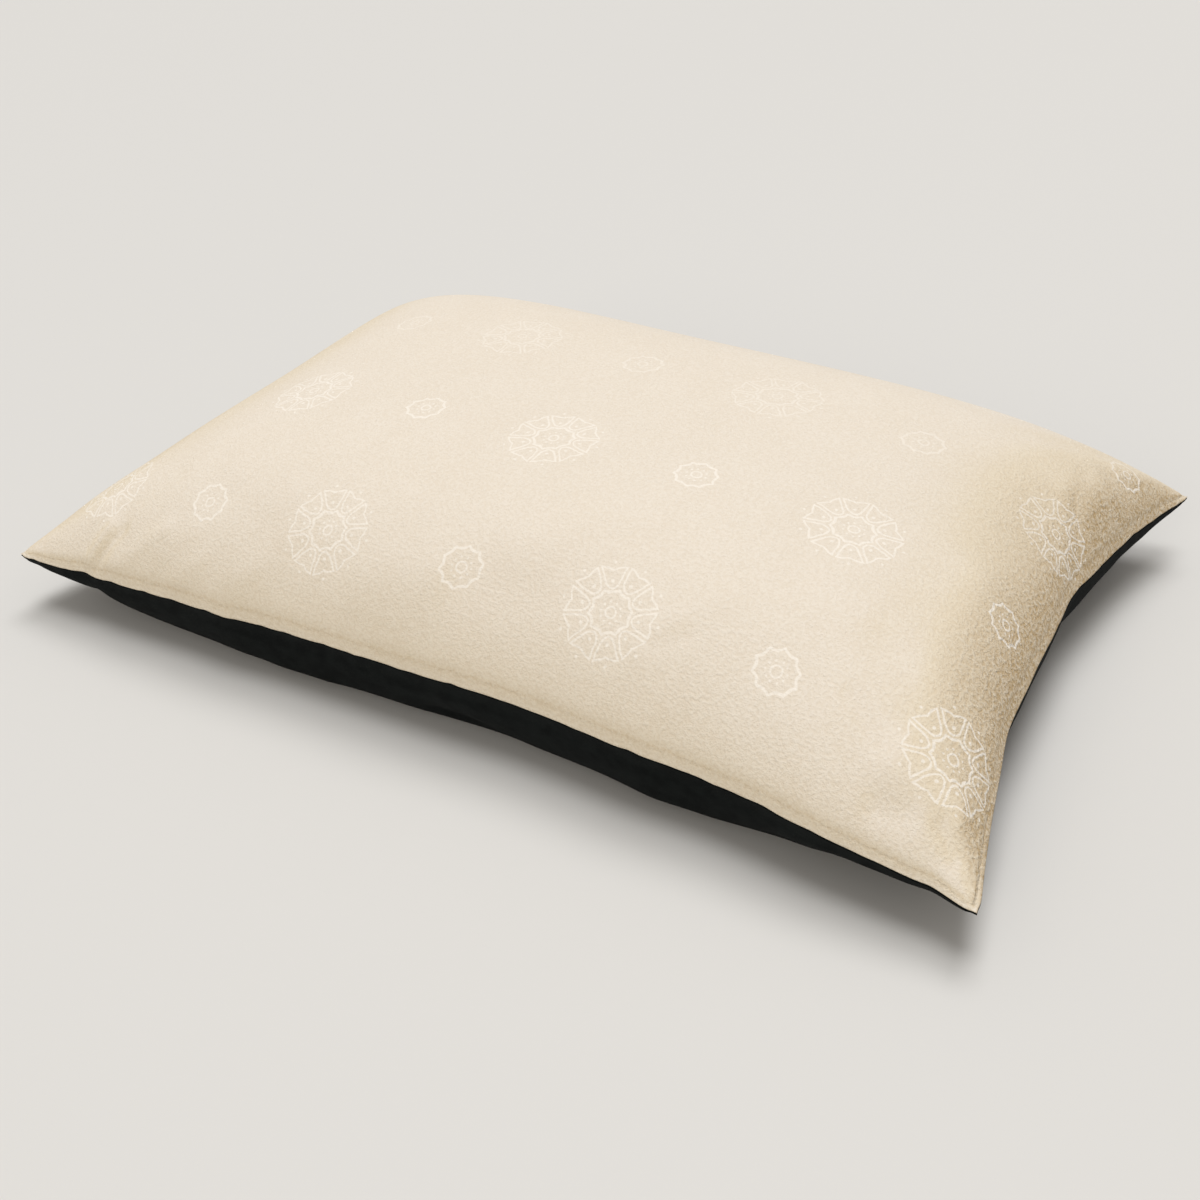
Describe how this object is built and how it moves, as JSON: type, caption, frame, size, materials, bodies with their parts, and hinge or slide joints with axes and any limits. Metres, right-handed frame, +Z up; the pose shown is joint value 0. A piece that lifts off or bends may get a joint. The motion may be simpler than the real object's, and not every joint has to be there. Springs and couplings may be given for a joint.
{
  "type": "filled lounge floor cushion",
  "caption": "Large plump two-panel floor cushion with knife-edge seam, printed pale fleece top and dark canvas base, lying on its base.",
  "frame": {"origin": "middle of the flat underside, on the surface that the cushion rests on; the corner tips are evenly placed about it", "axes": "+X along the near long side, +Y towards the far long side, +Z up from the underside to the crown"},
  "size_m": [1.2705, 0.817, 0.2705],
  "materials": {
    "printed_fleece": "soft short-pile fleece, pale cream with an off-white outline medallion print",
    "dark_canvas": "matt plain-woven canvas, near black"
  },
  "bodies": {
    "root": {"filled_top": "printed_fleece", "base_panel": "dark_canvas"}
  },
  "joints": []
}
